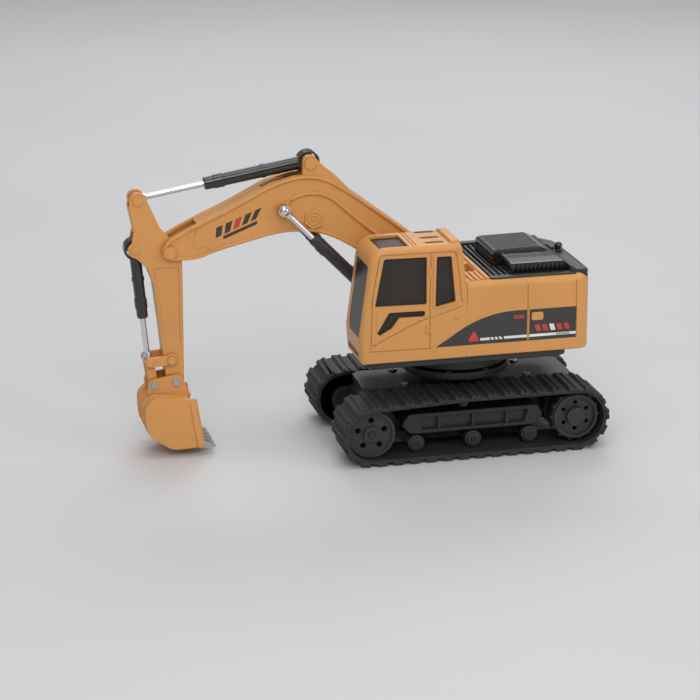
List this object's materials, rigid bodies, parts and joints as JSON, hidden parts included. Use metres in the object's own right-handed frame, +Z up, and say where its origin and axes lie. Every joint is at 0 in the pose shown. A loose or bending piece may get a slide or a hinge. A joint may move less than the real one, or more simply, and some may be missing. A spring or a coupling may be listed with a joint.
{
  "type": "toy excavator",
  "caption": "Battery toy excavator: belt tracks, slewing house with cab, and a jointed boom, stick and bucket with telescoping cylinders.",
  "frame": {"origin": "on the ground, under the centre of the machine's bounding box with the arm as stored; the slew axis is 50 mm behind it", "axes": "+X forward along the arm, +Y to the cab's side, +Z up"},
  "size_m": [0.2412, 0.092, 0.1534],
  "materials": {
    "yellow_plastic": "satin moulded ABS, warm orange-yellow",
    "dark_plastic": "charcoal moulded plastic, fine texture",
    "black_plastic": "glossy black plastic",
    "track_rubber": "flexible black belt rubber",
    "smoked_plastic": "smoked window liner",
    "chrome_rod": "polished bright rods",
    "steel": "plain screws and motor cans",
    "board": "circuit board laminate",
    "cell_wrap": "shrink-wrapped battery cells",
    "lamp": "clear lamp bar"
  },
  "bodies": {
    "undercarriage": {"chassis_base": "dark_plastic", "turntable_seat": "dark_plastic", "battery_pack": "cell_wrap", "battery_door": "dark_plastic", "base_screws": "steel", "drive_motor_left": "steel", "drive_motor_right": "steel", "side_frame_left": "dark_plastic", "side_frame_right": "dark_plastic", "track_left": "track_rubber", "track_right": "track_rubber"},
    "house": {"house_shell": "yellow_plastic", "house_pan": "dark_plastic", "engine_deck": "dark_plastic", "engine_hood": "black_plastic", "exhaust": "black_plastic", "arm_bracket": "yellow_plastic", "slew_motor": "steel", "main_board": "board", "house_screws": "steel", "cab_shell": "yellow_plastic", "cab_liner": "smoked_plastic", "front_lamp": "lamp"},
    "boom": {"boom_left": "yellow_plastic", "boom_right": "yellow_plastic", "boom_pins": "yellow_plastic", "boom_screws": "steel", "linkage_pins": "steel"},
    "stick": {"stick": "yellow_plastic", "stick_pins": "yellow_plastic"},
    "bucket": {"bucket": "yellow_plastic", "bucket_teeth": "dark_plastic"},
    "rocker": {"rocker": "yellow_plastic"},
    "link": {"link": "yellow_plastic"},
    "boom_rod_left": {"boom_rod_left": "chrome_rod"},
    "boom_barrel_left": {"boom_barrel_left": "black_plastic"},
    "boom_rod_right": {"boom_rod_right": "chrome_rod"},
    "boom_barrel_right": {"boom_barrel_right": "black_plastic"},
    "stick_rod": {"stick_rod": "chrome_rod"},
    "stick_barrel": {"stick_barrel": "black_plastic"},
    "bucket_rod": {"bucket_rod": "chrome_rod"},
    "bucket_barrel": {"bucket_barrel": "black_plastic"},
    "power_switch": {"power_switch": "dark_plastic"},
    "sprocket_left": {"sprocket_left": "dark_plastic"},
    "idler_left": {"idler_left": "dark_plastic"},
    "roller_left_front": {"roller_left_front": "dark_plastic"},
    "roller_left_middle": {"roller_left_middle": "dark_plastic"},
    "roller_left_rear": {"roller_left_rear": "dark_plastic"},
    "roller_left_top": {"roller_left_top": "dark_plastic"},
    "sprocket_right": {"sprocket_right": "dark_plastic"},
    "idler_right": {"idler_right": "dark_plastic"},
    "roller_right_front": {"roller_right_front": "dark_plastic"},
    "roller_right_middle": {"roller_right_middle": "dark_plastic"},
    "roller_right_rear": {"roller_right_rear": "dark_plastic"},
    "roller_right_top": {"roller_right_top": "dark_plastic"}
  },
  "joints": [
    {"name": "left_track_drive", "type": "hinge", "parent": "undercarriage", "child": "sprocket_left", "pos_m": [-0.1035, 0.0315, 0.017], "axis": [0, 1, 0], "continuous": true},
    {"name": "left_idler_spin", "type": "hinge", "parent": "undercarriage", "child": "idler_left", "pos_m": [0.0045, 0.0315, 0.016], "axis": [0, 1, 0], "continuous": true},
    {"name": "roller_left_front_spin", "type": "hinge", "parent": "undercarriage", "child": "roller_left_front", "pos_m": [-0.02, 0.0315, 0.00785], "axis": [0, 1, 0], "continuous": true},
    {"name": "roller_left_middle_spin", "type": "hinge", "parent": "undercarriage", "child": "roller_left_middle", "pos_m": [-0.05, 0.0315, 0.00785], "axis": [0, 1, 0], "continuous": true},
    {"name": "roller_left_rear_spin", "type": "hinge", "parent": "undercarriage", "child": "roller_left_rear", "pos_m": [-0.08, 0.0315, 0.00785], "axis": [0, 1, 0], "continuous": true},
    {"name": "roller_left_top_spin", "type": "hinge", "parent": "undercarriage", "child": "roller_left_top", "pos_m": [-0.045, 0.0315, 0.02785], "axis": [0, 1, 0], "continuous": true},
    {"name": "right_track_drive", "type": "hinge", "parent": "undercarriage", "child": "sprocket_right", "pos_m": [-0.1035, -0.0315, 0.017], "axis": [0, 1, 0], "continuous": true},
    {"name": "right_idler_spin", "type": "hinge", "parent": "undercarriage", "child": "idler_right", "pos_m": [0.0045, -0.0315, 0.016], "axis": [0, 1, 0], "continuous": true},
    {"name": "roller_right_front_spin", "type": "hinge", "parent": "undercarriage", "child": "roller_right_front", "pos_m": [-0.02, -0.0315, 0.00785], "axis": [0, 1, 0], "continuous": true},
    {"name": "roller_right_middle_spin", "type": "hinge", "parent": "undercarriage", "child": "roller_right_middle", "pos_m": [-0.05, -0.0315, 0.00785], "axis": [0, 1, 0], "continuous": true},
    {"name": "roller_right_rear_spin", "type": "hinge", "parent": "undercarriage", "child": "roller_right_rear", "pos_m": [-0.08, -0.0315, 0.00785], "axis": [0, 1, 0], "continuous": true},
    {"name": "roller_right_top_spin", "type": "hinge", "parent": "undercarriage", "child": "roller_right_top", "pos_m": [-0.045, -0.0315, 0.02785], "axis": [0, 1, 0], "continuous": true},
    {"name": "power_switch_slide", "type": "slide", "parent": "undercarriage", "child": "power_switch", "axis": [1, 0, 0], "range_m": [0, 0.0038]},
    {"name": "slew", "type": "hinge", "parent": "undercarriage", "child": "house", "pos_m": [-0.05, 0, 0.045], "axis": [0, 0, 1], "range_deg": [-170, 170]},
    {"name": "boom_lift", "type": "hinge", "parent": "house", "child": "boom", "pos_m": [-0.044, -0.008, 0.08], "axis": [0, -1, 0], "range_deg": [-15, 20]},
    {"name": "boom_cylinder_left_rod_pivot", "type": "hinge", "parent": "boom", "child": "boom_rod_left", "pos_m": [0.0405, 0.0036, 0.1256], "axis": [0, -1, 0], "range_deg": [-1.75, 2.17]},
    {"name": "boom_cylinder_left_slide", "type": "slide", "parent": "boom_rod_left", "child": "boom_barrel_left", "axis": [-0.6943, 0, -0.7197], "range_m": [-0.00775, 0.01023]},
    {"name": "boom_cylinder_right_rod_pivot", "type": "hinge", "parent": "boom", "child": "boom_rod_right", "pos_m": [0.0405, -0.0196, 0.1256], "axis": [0, -1, 0], "range_deg": [-1.75, 2.17]},
    {"name": "boom_cylinder_right_slide", "type": "slide", "parent": "boom_rod_right", "child": "boom_barrel_right", "axis": [-0.6943, 0, -0.7197], "range_m": [-0.00775, 0.01023]},
    {"name": "stick_swing", "type": "hinge", "parent": "boom", "child": "stick", "pos_m": [0.0982, -0.008, 0.1064], "axis": [0, -1, 0], "range_deg": [-20, 35]},
    {"name": "stick_cylinder_rod_pivot", "type": "hinge", "parent": "stick", "child": "stick_rod", "pos_m": [0.1132, -0.008, 0.1334], "axis": [0, -1, 0], "range_deg": [-32.72, 18.91]},
    {"name": "stick_cylinder_slide", "type": "slide", "parent": "stick_rod", "child": "stick_barrel", "axis": [-0.9868, 0, 0.1622], "range_m": [-0.01837, 0.01063]},
    {"name": "bucket_curl", "type": "hinge", "parent": "stick", "child": "bucket", "pos_m": [0.0965, -0.008, 0.038], "axis": [0, -1, 0], "range_deg": [-40, 40]},
    {"name": "rocker_pivot", "type": "hinge", "parent": "stick", "child": "rocker", "pos_m": [0.0985, -0.008, 0.05], "axis": [0, -1, 0], "range_deg": [-40.5, 40.5]},
    {"name": "link_pivot", "type": "hinge", "parent": "rocker", "child": "link", "pos_m": [0.1098, -0.008, 0.049], "axis": [0, -1, 0], "range_deg": [-40.5, 40.5]},
    {"name": "bucket_cylinder_rod_pivot", "type": "hinge", "parent": "rocker", "child": "bucket_rod", "pos_m": [0.1098, -0.008, 0.049], "axis": [0, -1, 0], "range_deg": [-40.46, 40.46]},
    {"name": "bucket_cylinder_slide", "type": "slide", "parent": "bucket_rod", "child": "bucket_barrel", "axis": [0.0878, 0, 0.9961], "range_m": [-0.00755, 0.00755]}
  ],
  "couplings": [
    {"joint": "left_idler_spin", "follows": "left_track_drive", "ratio": 1.0781},
    {"joint": "roller_left_front_spin", "follows": "left_track_drive", "ratio": 3.2093},
    {"joint": "roller_left_middle_spin", "follows": "left_track_drive", "ratio": 3.2093},
    {"joint": "roller_left_rear_spin", "follows": "left_track_drive", "ratio": 3.2093},
    {"joint": "roller_left_top_spin", "follows": "left_track_drive", "ratio": 5.3077},
    {"joint": "right_idler_spin", "follows": "right_track_drive", "ratio": 1.0781},
    {"joint": "roller_right_front_spin", "follows": "right_track_drive", "ratio": 3.2093},
    {"joint": "roller_right_middle_spin", "follows": "right_track_drive", "ratio": 3.2093},
    {"joint": "roller_right_rear_spin", "follows": "right_track_drive", "ratio": 3.2093},
    {"joint": "roller_right_top_spin", "follows": "right_track_drive", "ratio": 5.3077},
    {"joint": "boom_cylinder_left_rod_pivot", "follows": "boom_lift", "ratio": 0.083317},
    {"joint": "boom_cylinder_left_slide", "follows": "boom_lift", "m_per_rad": 0.028449},
    {"joint": "boom_cylinder_right_rod_pivot", "follows": "boom_lift", "ratio": 0.083317},
    {"joint": "boom_cylinder_right_slide", "follows": "boom_lift", "m_per_rad": 0.028449},
    {"joint": "stick_cylinder_rod_pivot", "follows": "stick_swing", "ratio": -0.92049},
    {"joint": "stick_cylinder_slide", "follows": "stick_swing", "m_per_rad": -0.029583},
    {"joint": "rocker_pivot", "follows": "bucket_curl", "ratio": 1},
    {"joint": "link_pivot", "follows": "bucket_curl", "ratio": -1},
    {"joint": "bucket_cylinder_rod_pivot", "follows": "bucket_curl", "ratio": -0.99897},
    {"joint": "bucket_cylinder_slide", "follows": "bucket_curl", "m_per_rad": -0.010387}
  ]
}
